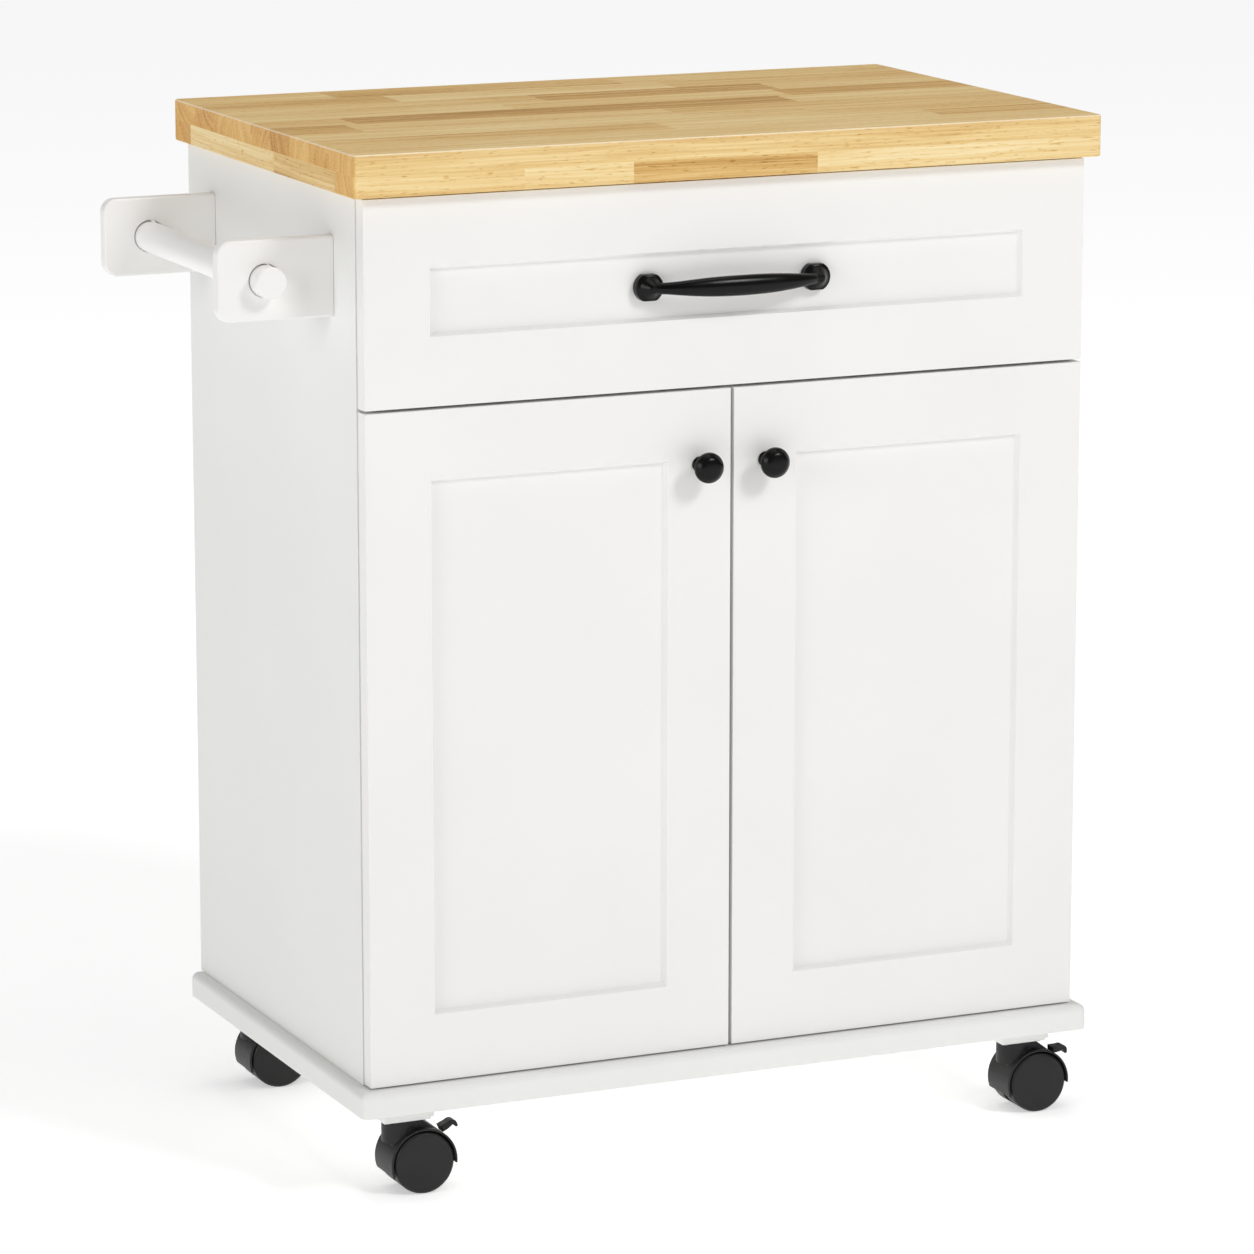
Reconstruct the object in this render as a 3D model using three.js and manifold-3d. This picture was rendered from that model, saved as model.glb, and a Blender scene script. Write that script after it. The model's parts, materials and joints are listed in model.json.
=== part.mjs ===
// Butcher block kitchen cart: a white cabinet with a drawer, two doors, a side rack and four casters.
// Millimetres, +Z up, front faces -Y, +X is the right-hand side seen from the front.
// Inside the cart group X is 0 at the cabinet's centre, Y is 0 at the front face of doors and drawer,
// and Z is 0 on the floor. The outer group moves the whole to the bottom centre of its own box.

import * as THREE from 'three';
import { mergeVertices } from 'three/addons/utils/BufferGeometryUtils.js';
import Module from 'manifold-3d';

const wasm = await Module();
wasm.setup();

// ---------------------------------------------------------------- driving dimensions
const cabinetWidth = 630;
const cabinetBack = 395;         // from the front plane to the rear edge of the side panels
const board = 15;                // side panels, rails, shelf, doors and drawer front
const bumperGap = 1;             // closed door to carcass
const carcassHeight = 713;
const fit = 0.3;                 // gap between neighbouring pieces

const topOverhang = 10;
const topBackOverhang = 5;
const layer = 17;                // the worktop is two layers of strips thick at its edges
const edgeStrip = 40;

const baseThickness = 21;
const baseOverhang = 10;
const baseCorner = 1;
const baseRound = 6;

const wheelRadius = 25.5;
const casterHeight = 65;
const blockSize = 46;
const blockThickness = 10;
const swivelX = 278;
const frontSwivelY = 33;
const backSwivelY = 360;
const trail = 15;                // wheel axle behind the swivel axis
const hoodRadius = 28.5;
const hoodInside = 26.6;
const hoodWidth = 38.5;
const webThickness = 5;
const neckRadius = 14;
const leverPivot = 21.6;         // right of and above the axle
const brakeTravel = 22;          // degrees a lever turns down; the right one rests pressed

const doorEdgeGap = 1;           // outer edge of a front to the cabinet side
const middleGap = 3;
const doorBottomGap = 1.5;
const drawerGap = 2.5;           // between drawer front and doors
const drawerGapHeight = 641;     // its centre, above the floor
const topShadowGap = 2;
const frameWidth = 55;           // stiles and rails around each recessed panel
const recess = 5;
const recessSlope = 2;

const drawerSide = 12;
const drawerBoxWidth = 574;
const drawerBoxBack = 355;
const drawerBoxBottom = 656;
const drawerBoxHeight = 115;
const drawerBottomThickness = 4;
const slideLength = 350;
const slideHeight = 45;
const slideDepth = 12.4;
const slideSheet = 1.2;
const slideCentre = 712;

const knobProjection = 26;
const knobHeight = 580;
const handleFeet = 146;          // centre to centre
const handleHeight = 724.5;
const handleFootRadius = 12;
const handleFootHalf = 11;

const cupRadius = 17.3;
const cupDepth = 11;
const cupFromEdge = 22;
const hingeFromEnd = 100;

const bracketReach = 96;
const bracketHeight = 64;
const bracketThickness = 12;
const bracketCorner = 11;
const bracketBottom = 708;
const frontBracketY = 61;
const backBracketY = 330;
const rodRadius = 12.5;
const rodHoleRadius = 13.4;
const rodFromSide = 57;
const rodEnd = 15;               // how far the rod stands out of each bracket

// ---------------------------------------------------------------- derived dimensions
const half = cabinetWidth / 2;
const inner = half - board;
const baseTop = casterHeight + blockThickness + baseThickness;
const carcassTop = baseTop + carcassHeight;
const worktopTop = carcassTop + 2 * layer;
const carcassFront = board + bumperGap;
const frontHalf = half - doorEdgeGap;
const doorBottom = baseTop + doorBottomGap;
const doorTop = drawerGapHeight - drawerGap / 2;
const drawerBottomEdge = drawerGapHeight + drawerGap / 2;
const drawerTopEdge = carcassTop - topShadowGap;
const rodZ = bracketBottom + bracketHeight / 2;

// ---------------------------------------------------------------- materials
const finish = (color, roughness, metalness = 0) =>
  new THREE.MeshStandardMaterial({ color, roughness, metalness });
const whiteLacquer = finish(0xf1f0ee, 0.45);
const whitePanel = finish(0xeeeeec, 0.5);
const rubberwood = finish(0xd9ac66, 0.5);
const blackMetal = finish(0x1b1b1c, 0.35, 0.6);
const blackPlastic = finish(0x2a2a2b, 0.45);
const zincSteel = finish(0xb9bcc0, 0.35, 0.9);
const whiteEnamel = finish(0xebebe9, 0.4);

// ---------------------------------------------------------------- geometry helpers
function toManifold(geometry) {
  const bare = geometry.clone();
  bare.deleteAttribute('normal');
  bare.deleteAttribute('uv');
  const merged = mergeVertices(bare, 1e-3);
  const corners = [];
  for (let i = 0; i < merged.index.count; i += 3) {
    const [a, b, c] = [0, 1, 2].map((k) => merged.index.getX(i + k));
    if (a !== b && b !== c && c !== a) corners.push(a, b, c);
  }
  const vertProperties = Float32Array.from(merged.attributes.position.array);
  const triVerts = Uint32Array.from(corners);
  return new wasm.Manifold(new wasm.Mesh({ numProp: 3, vertProperties, triVerts }));
}

function toGeometry(manifold) {
  const mesh = manifold.getMesh();
  const geometry = new THREE.BufferGeometry();
  geometry.setAttribute('position', new THREE.BufferAttribute(mesh.vertProperties, 3));
  geometry.setIndex(new THREE.BufferAttribute(mesh.triVerts, 1));
  geometry.computeVertexNormals();
  return geometry;
}

function cut(geometry, ...tools) {
  return toGeometry(tools.reduce((body, tool) => body.subtract(toManifold(tool)), toManifold(geometry)));
}

function join(...geometries) {
  return toGeometry(geometries.map(toManifold).reduce((all, one) => all.add(one)));
}

function common(geometry, tool) {
  return toGeometry(toManifold(geometry).intersect(toManifold(tool)));
}

// A box between two corners.
function block([x0, y0, z0], [x1, y1, z1]) {
  const box = new THREE.BoxGeometry(x1 - x0, y1 - y0, z1 - z0);
  return box.translate((x0 + x1) / 2, (y0 + y1) / 2, (z0 + z1) / 2);
}

// A round bar along Y from y0 to y1 round the point (x, z).
function barAlongY(radius, y0, y1, x, z, sides = 32) {
  const bar = new THREE.CylinderGeometry(radius, radius, y1 - y0, sides);
  return bar.translate(x, (y0 + y1) / 2, z);
}

// A round bar along Z from z0 to z1 round the point (x, y).
function barAlongZ(radius, z0, z1, x, y, sides = 32) {
  const bar = new THREE.CylinderGeometry(radius, radius, z1 - z0, sides).rotateX(Math.PI / 2);
  return bar.translate(x, y, (z0 + z1) / 2);
}

// A profile of [radius, distance] pairs turned round the Y axis, distance running towards -Y.
function turned(profile, sides = 32) {
  const points = profile.map(([radius, distance]) => new THREE.Vector2(radius, distance));
  return new THREE.LatheGeometry(points, sides).rotateX(Math.PI);
}

// An outline in the X-Z plane carried along Y from y0 to y1.
function prismAlongY(shape, y0, y1, curveSegments = 12) {
  const prism = new THREE.ExtrudeGeometry(shape, { depth: y1 - y0, bevelEnabled: false, curveSegments });
  return prism.rotateX(Math.PI / 2).translate(0, y1, 0);
}

function polygon(points) {
  return new THREE.Shape(points.map(([x, y]) => new THREE.Vector2(x, y)));
}

function roundedRectangle(x0, y0, x1, y1, radius) {
  const shape = new THREE.Shape();
  const quarter = Math.PI / 2;
  shape.absarc(x1 - radius, y0 + radius, radius, -quarter, 0);
  shape.absarc(x1 - radius, y1 - radius, radius, 0, quarter);
  shape.absarc(x0 + radius, y1 - radius, radius, quarter, 2 * quarter);
  shape.absarc(x0 + radius, y0 + radius, radius, 2 * quarter, 3 * quarter);
  return shape;
}

function piece(name, material, geometry, [x, y, z] = [0, 0, 0]) {
  const mesh = new THREE.Mesh(geometry, material);
  mesh.name = name;
  mesh.position.set(x, y, z);
  return mesh;
}

function boxPiece(name, material, low, high) {
  const centre = low.map((value, axis) => (value + high[axis]) / 2);
  const size = low.map((value, axis) => high[axis] - value);
  return piece(name, material, new THREE.BoxGeometry(...size), centre);
}

// ---------------------------------------------------------------- worktop
// One full slab on top; below it a frame of strips doubles the thickness that shows at the edges.
function worktop() {
  const group = new THREE.Group();
  const left = -half - topOverhang;
  const right = half + topOverhang;
  const front = -topOverhang;
  const back = cabinetBack + topBackOverhang;
  const bottom = carcassTop;
  const middle = carcassTop + layer;
  const endFront = front + edgeStrip + fit;
  const endBack = back - edgeStrip - fit;
  const strip = (name, low, high) => boxPiece(name, rubberwood, [...low, bottom], [...high, middle]);
  group.add(boxPiece('butcher_top_slab', rubberwood, [left, front, middle], [right, back, worktopTop]));
  group.add(strip('top_strip_front', [left, front], [right, front + edgeStrip]));
  group.add(strip('top_strip_back', [left, back - edgeStrip], [right, back]));
  group.add(strip('top_strip_left', [left, endFront], [left + edgeStrip, endBack]));
  group.add(strip('top_strip_right', [right - edgeStrip, endFront], [right, endBack]));
  return group;
}

// ---------------------------------------------------------------- carcass
// The base board's upper edge and upright corners are rounded; its underside stays square.
function baseBoard() {
  const outline = roundedRectangle(
    -half - baseOverhang + baseRound, -baseOverhang + baseRound,
    half + baseOverhang - baseRound, cabinetBack - baseRound, baseCorner);
  const rounded = new THREE.ExtrudeGeometry(outline, {
    depth: baseThickness, bevelThickness: baseRound, bevelSize: baseRound, bevelSegments: 4, curveSegments: 4,
  });
  rounded.translate(0, 0, baseTop - baseThickness - baseRound);
  const under = block([-cabinetWidth, -cabinetWidth, 0], [cabinetWidth, cabinetWidth, baseTop - baseThickness]);
  return piece('base_board', whitePanel, cut(rounded, under));
}

function carcass() {
  const group = new THREE.Group();
  const panel = (name, low, high) => group.add(boxPiece(name, whitePanel, low, high));
  const innerFit = inner - fit;
  const backFace = cabinetBack - 4;
  const backThickness = 5;
  const railDepth = 60;
  const railFront = carcassFront + 1;
  const shelfBottom = 357;
  panel('left_side_panel', [-half, carcassFront, baseTop], [-inner, cabinetBack, carcassTop]);
  panel('right_side_panel', [inner, carcassFront, baseTop], [half, cabinetBack, carcassTop]);
  panel('back_panel', [-innerFit, backFace - backThickness, baseTop + fit],
    [innerFit, backFace, carcassTop - fit]);
  panel('top_front_rail', [-innerFit, railFront, carcassTop - board],
    [innerFit, railFront + railDepth, carcassTop - fit]);
  panel('top_back_rail', [-innerFit, backFace - backThickness - fit - railDepth, carcassTop - board],
    [innerFit, backFace - backThickness - fit, carcassTop - fit]);
  panel('drawer_divider_rail', [-innerFit, railFront, drawerGapHeight - board / 2],
    [innerFit, railFront + railDepth, drawerGapHeight + board / 2]);
  panel('middle_shelf', [1 - inner, 40, shelfBottom], [inner - 1, 385, shelfBottom + board]);
  group.add(baseBoard());
  return group;
}

// ---------------------------------------------------------------- drawer and doors
// A flat board with a shallow panel sunk in its front face, its inner walls sloping slightly.
function shakerBoard([x0, z0], [x1, z1]) {
  const edge = frameWidth + recessSlope;
  const outline = polygon([
    [x0 + edge, z0 + edge], [x1 - edge, z0 + edge], [x1 - edge, z1 - edge], [x0 + edge, z1 - edge],
  ]);
  const pocket = new THREE.ExtrudeGeometry(outline, {
    depth: 0.01, bevelThickness: recess, bevelSize: recessSlope, bevelSegments: 1,
  });
  return cut(block([x0, 0, z0], [x1, board, z1]), pocket.rotateX(Math.PI / 2));
}

// A bow pull: two barrel feet, narrow necks and a grip that swells towards its middle.
function bowHandle() {
  const floor = recess;
  const foot = handleFeet / 2;
  const footDepth = 6;
  const neckDistance = 10;
  const footProfile = [[0, 0], [handleFootRadius, 0], [handleFootRadius, footDepth - 1.5],
    [handleFootRadius - 1.5, footDepth], [6, neckDistance], [0, neckDistance]];
  const flats = block([-handleFeet, -50, -handleFootHalf], [handleFeet, 50, handleFootHalf]);
  const feet = [-1, 1].map((side) =>
    common(turned(footProfile, 20).translate(side * foot, 0, 0), flats));
  const reach = [[foot, -7], [foot - 7, -13.5], [foot - 20, -18.5], [foot - 38, -21.5], [0, -23.5]];
  const right = reach.map(([x, y]) => new THREE.Vector3(x, y, 0));
  const left = reach.slice(0, -1).map(([x, y]) => new THREE.Vector3(-x, y, 0));
  const path = new THREE.CatmullRomCurve3([...left, ...right.reverse()]);
  const section = new THREE.Shape();
  section.absellipse(0, 0, 5.2, 5.2, 0, 2 * Math.PI);
  const bow = new THREE.ExtrudeGeometry(section, { steps: 18, extrudePath: path, curveSegments: 5 });
  const grip = new THREE.SphereGeometry(1, 16, 10).rotateZ(Math.PI / 2).scale(56, 5.8, 8.2);
  grip.translate(0, -23.2, 0);
  const handle = join(bow, grip, ...feet);
  return piece('drawer_handle', blackMetal, handle.translate(0, floor, 0), [0, 0, handleHeight]);
}

// A drawer slide member: a channel along Y, its web against x = web and its lips towards x = mouth.
function slideMember(name, web, mouth, height, front) {
  const inward = Math.sign(mouth - web);
  const sheet = slideSheet * inward;
  const top = height / 2;
  const lip = top - slideSheet;
  const outline = polygon([
    [web, -top], [mouth, -top], [mouth, -lip], [web + sheet, -lip],
    [web + sheet, lip], [mouth, lip], [mouth, top], [web, top],
  ]);
  return piece(name, zincSteel, prismAlongY(outline, front, front + slideLength), [0, 0, slideCentre]);
}

function drawer() {
  const group = new THREE.Group();
  const side = drawerBoxWidth / 2;
  const within = side - drawerSide - fit;
  const boxTop = drawerBoxBottom + drawerBoxHeight;
  const bottomLevel = drawerBoxBottom + 8;
  const bottomTop = bottomLevel + drawerBottomThickness;
  const boxFront = board + fit;
  const backFront = drawerBoxBack - drawerSide;
  const panel = (name, low, high) => group.add(boxPiece(name, whitePanel, low, high));
  group.add(piece('drawer_front', whiteLacquer,
    shakerBoard([-frontHalf, drawerBottomEdge], [frontHalf, drawerTopEdge])));
  panel('drawer_side_left', [-side, boxFront, drawerBoxBottom], [drawerSide - side, drawerBoxBack, boxTop]);
  panel('drawer_side_right', [side - drawerSide, boxFront, drawerBoxBottom], [side, drawerBoxBack, boxTop]);
  panel('drawer_back', [-within, backFront, bottomTop + fit], [within, drawerBoxBack, boxTop]);
  panel('drawer_bottom', [-within, boxFront, bottomLevel], [within, drawerBoxBack, bottomTop]);
  group.add(bowHandle());
  for (const [word, sign] of [['left', -1], ['right', 1]]) {
    const outer = sign * (inner - fit);
    const drawerFace = sign * (side + fit);
    const innerHeight = slideHeight - 2 * slideSheet - 2;
    group.add(slideMember(`drawer_slide_${word}`, drawerFace, outer - sign * (slideSheet + 1),
      innerHeight, carcassFront + 1));
    group.add(slideMember(`cabinet_slide_${word}`, outer, outer - sign * (slideDepth - slideSheet - 1),
      slideHeight, carcassFront + 4));
  }
  return group;
}

function knob(name, x) {
  const profile = [[0, 0], [6.3, 0], [6.3, 1.5], [4.4, 4], [4.4, 10], [12.2, 17.5], [12.5, 19],
    [10.8, 22.6], [6.4, 25.1], [0, knobProjection]];
  return piece(name, blackMetal, turned(profile, 24), [x, 0, knobHeight]);
}

// A door with a blind bore for each hinge cup, its knob, and the two cups.
function door(word, sign) {
  const group = new THREE.Group();
  const outerEdge = sign * frontHalf;
  const middleEdge = sign * middleGap / 2;
  const xs = [outerEdge, middleEdge].sort((a, b) => a - b);
  const cupX = sign * (half - cupFromEdge);
  const heights = [['lower', doorBottom + hingeFromEnd], ['upper', doorTop - hingeFromEnd]];
  const bores = heights.map(([, z]) =>
    barAlongY(cupRadius + 2 * fit, board - cupDepth - fit, board + 1, cupX, z, 24));
  const leaf = cut(shakerBoard([xs[0], doorBottom], [xs[1], doorTop]), ...bores);
  group.add(piece(`${word}_door`, whiteLacquer, leaf));
  group.add(knob(`${word}_knob`, middleEdge + sign * frameWidth / 2));
  const wall = 1.2;
  const rim = 0.7;
  const cup = turned([[0, cupDepth - wall], [cupRadius - wall, cupDepth - wall],
    [cupRadius - wall, -rim], [cupRadius + wall, -rim], [cupRadius + wall, 0],
    [cupRadius, 0], [cupRadius, cupDepth], [0, cupDepth]], 20);
  for (const [level, z] of heights) {
    group.add(piece(`${word}_hinge_cup_${level}`, zincSteel, cup, [cupX, board, z]));
  }
  return group;
}

// The hinge's fixed half: a winged plate on the side panel and an arm that reaches to the cup.
function hingeArm(name, sign, z) {
  const face = sign * (inner - fit);
  const span = (depth) => [face, face - sign * depth].sort((a, b) => a - b);
  const [plateLow, plateHigh] = span(2.5);
  const [armLow, armHigh] = span(13);
  const wings = block([plateLow, 46, -24], [plateHigh, 60, 24]);
  const plate = block([plateLow, 34, -9], [plateHigh, 78, 9]);
  const arm = block([armLow, carcassFront + 2, -6.5], [armHigh, 74, 6.5]);
  return piece(name, zincSteel, join(wings, plate, arm), [0, 0, z]);
}

// ---------------------------------------------------------------- side rack
function rack() {
  const group = new THREE.Group();
  const root = -half - fit;
  const tip = -half - bracketReach;
  const rodX = -half - rodFromSide;
  const quarter = Math.PI / 2;
  const low = -bracketHeight / 2;
  const high = bracketHeight / 2;
  const outline = new THREE.Shape();
  outline.moveTo(root, low);
  outline.lineTo(root, high);
  outline.absarc(tip + bracketCorner, high - bracketCorner, bracketCorner, quarter, 2 * quarter);
  outline.absarc(tip + bracketCorner, low + bracketCorner, bracketCorner, 2 * quarter, 3 * quarter);
  const hole = new THREE.Path();
  hole.absarc(rodX, 0, rodHoleRadius, 0, 4 * quarter, true);
  outline.holes.push(hole);
  for (const [word, y] of [['front', frontBracketY], ['back', backBracketY]]) {
    const bracket = prismAlongY(outline, y, y + bracketThickness, 8);
    group.add(piece(`rack_bracket_${word}`, whiteLacquer, bracket, [0, 0, rodZ]));
  }
  const rodFront = frontBracketY - rodEnd;
  const rodLength = backBracketY + bracketThickness + rodEnd - rodFront;
  const chamfer = 1.2;
  const rod = turned([[0, 0], [rodRadius - chamfer, 0], [rodRadius, -chamfer],
    [rodRadius, chamfer - rodLength], [rodRadius - chamfer, -rodLength], [0, -rodLength]].reverse(), 32);
  group.add(piece('towel_rod', whiteLacquer, rod, [rodX, rodFront, rodZ - (rodHoleRadius - rodRadius) / 2]));
  return group;
}

// ---------------------------------------------------------------- casters
// Everything below is drawn with the wheel axle at x = 0, z = 0 and the swivel axis at x = -trail.
const neckTop = casterHeight - 3.5 - wheelRadius;

function arcPoints(radius, from, to, steps) {
  const points = [];
  for (let i = 0; i <= steps; i += 1) {
    const angle = THREE.MathUtils.degToRad(from + (to - from) * i / steps);
    points.push([radius * Math.cos(angle), radius * Math.sin(angle)]);
  }
  return points;
}

// The hood wraps both wheels, from just below the axle on one side to low down on the other.
function hood(hasLever) {
  const openingFrom = -6;
  const openingTo = 201;
  const shell = polygon([...arcPoints(hoodRadius, openingFrom, openingTo, 24), [0, -4]]);
  const shoulder = polygon([[-trail, 14], [16, 14], [15, 23], [-trail + neckRadius, neckTop], [-trail, neckTop]]);
  const body = join(
    prismAlongY(shell, -hoodWidth / 2, hoodWidth / 2),
    prismAlongY(shoulder, -neckRadius + 2, neckRadius - 2),
    barAlongZ(neckRadius, 10, neckTop, -trail, 0, 24),
  );
  const pocket = (side) => {
    const near = side * webThickness / 2;
    const ys = [near, side * hoodWidth].sort((a, b) => a - b);
    return barAlongY(hoodInside, ...ys, 0, 0, 36);
  };
  const socket = barAlongZ(5.4, neckTop - 10, neckTop + 1, -trail, 0, 20);
  const tools = [pocket(-1), pocket(1), socket];
  if (hasLever) {
    const notch = block([-1.5, -6.6, -4.6], [20, 6.6, 4.6]).rotateY(-Math.PI / 4);
    tools.push(notch.translate(leverPivot - 1, 0, leverPivot - 1));
  }
  const axleReach = hoodWidth / 2 - 4;
  return join(cut(body, ...tools), barAlongY(3, -axleReach, axleReach, 0, 0, 16));
}

// A wheel: a domed outer face, a plain tread and a blind bore that runs on the axle.
function wheelProfile() {
  const innerFace = webThickness / 2 + 0.8;
  const outerFace = hoodWidth / 2 + 0.6;
  const axleEnd = hoodWidth / 2 - 4 + 0.5;
  const bore = 3.3;
  return [[0, axleEnd], [bore, axleEnd], [bore, innerFace], [wheelRadius - 1, innerFace],
    [wheelRadius, innerFace + 1], [wheelRadius, outerFace - 3], [wheelRadius - 1.2, outerFace - 1],
    [wheelRadius - 4, outerFace], [0, outerFace + 1]];
}

// The lever is drawn raised, round its own pivot, then turned down by the angle it rests at.
function brakeLever(pressedBy) {
  const blade = polygon([[-3, -1], [1.5, -3], [5, -0.4], [8.2, 2.2], [12, 0],
    [13.4, 2], [10.4, 6.8], [7.2, 7.2], [-1, 4]]);
  return prismAlongY(blade, -5, 5).rotateY(THREE.MathUtils.degToRad(pressedBy));
}

function caster(word, x, y, hasLever) {
  const group = new THREE.Group();
  group.position.set(x + trail, y, wheelRadius);
  const plateTop = casterHeight - wheelRadius;
  const plate = block([-trail - 20, -20, plateTop - 2.5], [-trail + 20, 20, plateTop]);
  const stem = barAlongZ(5, neckTop - 9, plateTop - 1, -trail, 0, 20);
  group.add(piece(`caster_plate_${word}`, whiteEnamel, join(plate, stem)));
  group.add(piece(`caster_hood_${word}`, blackPlastic, hood(hasLever)));
  const profile = wheelProfile();
  group.add(piece(`wheel_front_${word}`, blackPlastic, turned(profile, 30)));
  group.add(piece(`wheel_back_${word}`, blackPlastic, turned(profile, 30).rotateZ(Math.PI)));
  if (hasLever) {
    group.add(piece(`brake_lever_${word}`, blackPlastic, brakeLever(x > 0 ? brakeTravel : 0), [leverPivot, 0, leverPivot]));
  }
  return group;
}

function runningGear() {
  const group = new THREE.Group();
  const reach = blockSize / 2;
  for (const [end, y] of [['front', frontSwivelY], ['back', backSwivelY]]) {
    for (const [hand, x] of [['left', -swivelX], ['right', swivelX]]) {
      const word = `${end}_${hand}`;
      group.add(boxPiece(`caster_block_${word}`, whitePanel, [x - reach, y - reach, casterHeight],
        [x + reach, y + reach, casterHeight + blockThickness]));
      group.add(caster(word, x, y, end === 'front'));
    }
  }
  return group;
}

// ---------------------------------------------------------------- the whole cart
const cart = new THREE.Group();
cart.add(worktop(), carcass(), drawer(), rack(), runningGear());
for (const [word, sign] of [['left', -1], ['right', 1]]) {
  cart.add(door(word, sign));
  cart.add(hingeArm(`${word}_hinge_arm_lower`, sign, doorBottom + hingeFromEnd));
  cart.add(hingeArm(`${word}_hinge_arm_upper`, sign, doorTop - hingeFromEnd));
}
const boxMiddleX = (topOverhang - bracketReach) / 2;
const boxMiddleY = (cabinetBack + topBackOverhang - knobProjection) / 2;
cart.position.set(-boxMiddleX, -boxMiddleY, 0);

const butcherBlockCart = new THREE.Group();
butcherBlockCart.add(cart);

export default butcherBlockCart;
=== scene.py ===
# %% [markdown]
# # A butcher block kitchen cart
# The cart is a white cabinet on four casters, with a worktop of glued rubberwood staves, a drawer, two
# doors and a rail on its left side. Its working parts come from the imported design. This lesson gives each
# of them the surface and the fine shape that the real one has. It starts by loading the design.

# %% Load the design
import json
import math

import bmesh
import bpy
import numpy as np
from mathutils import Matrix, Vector


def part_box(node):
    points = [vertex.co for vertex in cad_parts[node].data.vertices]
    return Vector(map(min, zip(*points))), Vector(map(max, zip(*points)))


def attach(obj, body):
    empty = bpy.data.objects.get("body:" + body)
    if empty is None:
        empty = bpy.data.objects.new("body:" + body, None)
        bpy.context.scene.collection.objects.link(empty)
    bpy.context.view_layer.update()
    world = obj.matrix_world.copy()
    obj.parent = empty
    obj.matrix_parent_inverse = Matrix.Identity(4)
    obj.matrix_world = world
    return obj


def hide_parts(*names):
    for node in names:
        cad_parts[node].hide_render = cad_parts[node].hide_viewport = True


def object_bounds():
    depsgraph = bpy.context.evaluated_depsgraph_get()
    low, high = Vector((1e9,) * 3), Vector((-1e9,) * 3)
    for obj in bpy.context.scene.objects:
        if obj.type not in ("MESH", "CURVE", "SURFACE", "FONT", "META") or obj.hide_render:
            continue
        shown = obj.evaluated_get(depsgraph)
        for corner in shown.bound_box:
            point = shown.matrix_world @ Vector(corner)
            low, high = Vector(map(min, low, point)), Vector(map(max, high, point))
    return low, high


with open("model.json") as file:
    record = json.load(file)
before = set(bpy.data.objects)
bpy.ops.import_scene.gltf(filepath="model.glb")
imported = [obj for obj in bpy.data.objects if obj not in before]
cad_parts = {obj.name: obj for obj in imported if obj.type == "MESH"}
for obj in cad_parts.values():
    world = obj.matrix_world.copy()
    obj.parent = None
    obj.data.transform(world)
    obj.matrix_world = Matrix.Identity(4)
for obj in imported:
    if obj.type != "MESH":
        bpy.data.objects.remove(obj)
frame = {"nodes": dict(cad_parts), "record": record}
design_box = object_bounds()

MM = 0.001
body_of_node = {n: body for body, nodes in frame["record"]["behaviour"]["bodies"].items() for n in nodes}


def reach(node):
    """Lowest and highest corner of a design node, in millimetres."""
    low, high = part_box(node)
    return np.array(low) / MM, np.array(high) / MM


def middle(node):
    """Centre of a design node's box, in millimetres."""
    low, high = reach(node)
    return (low + high) / 2


# %% [markdown]
# ## The camera
# A long lens from well back keeps upright edges upright and makes a cabinet look calm. The camera is placed
# by the point it looks at, its distance, how far round it stands and how far it looks down.

# %% Camera
AIM_LEFT_OF_MIDDLE = 49
AIM_HEIGHT = 453
CAMERA_DISTANCE = 4508
CAMERA_AROUND = math.radians(24.0)
CAMERA_DOWN = math.radians(11.96)
LENS = 162.6

front_plane = reach("left_door")[0][1]
aim = np.array([-AIM_LEFT_OF_MIDDLE, front_plane, AIM_HEIGHT])
view_direction = np.array([
    math.sin(CAMERA_AROUND) * math.cos(CAMERA_DOWN),
    math.cos(CAMERA_AROUND) * math.cos(CAMERA_DOWN),
    -math.sin(CAMERA_DOWN),
])
camera_data = bpy.data.cameras.new("camera")
camera_data.lens = LENS
camera_data.sensor_width = 36
camera_data.clip_end = 100
camera = bpy.data.objects.new("camera", camera_data)
camera.location = Vector((aim - view_direction * CAMERA_DISTANCE) * MM)
camera.rotation_euler = Vector(view_direction).to_track_quat("-Z", "Y").to_euler()
bpy.context.scene.collection.objects.link(camera)
bpy.context.scene.camera = camera
print("camera at", [round(v, 3) for v in camera.location])


# %% [markdown]
# ## Meshes from numbers
# Most pieces are grids of points worked out in one go. A grid has rows and columns; four neighbours make a
# face, and the last column is joined to the first. The alternative, moving points by hand, can't be repeated
# or measured. The helpers below turn grids into closed meshes, merge the points that meet at a pole, and
# turn every face outwards.

# %% Mesh helpers
def new_piece(name, mesh):
    """An object for a mesh, at the origin and in the scene."""
    piece = bpy.data.objects.new(name, mesh)
    bpy.context.scene.collection.objects.link(piece)
    return piece


def grid_faces(rows, columns):
    """Quads between the points of a grid whose columns close on themselves."""
    r, c = np.meshgrid(np.arange(rows - 1), np.arange(columns), indexing="ij")
    r, c = r.ravel(), c.ravel()
    next_c = (c + 1) % columns
    corners = [r * columns + c, r * columns + next_c, (r + 1) * columns + next_c, (r + 1) * columns + c]
    return np.stack(corners, axis=1).tolist()


def facing_out(mesh):
    """The mesh with its doubled points merged and its faces turned outwards."""
    work = bmesh.new()
    work.from_mesh(mesh)
    bmesh.ops.remove_doubles(work, verts=work.verts, dist=1e-7)
    bmesh.ops.dissolve_degenerate(work, edges=work.edges, dist=1e-7)
    bmesh.ops.recalc_face_normals(work, faces=work.faces)
    work.to_mesh(mesh)
    work.free()
    return mesh


def closed_mesh(name, points, faces):
    """A piece from points in millimetres and the faces between them."""
    mesh = bpy.data.meshes.new(name)
    mesh.from_pydata((np.asarray(points, float) * MM).tolist(), [], faces)
    return new_piece(name, facing_out(mesh))


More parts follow.
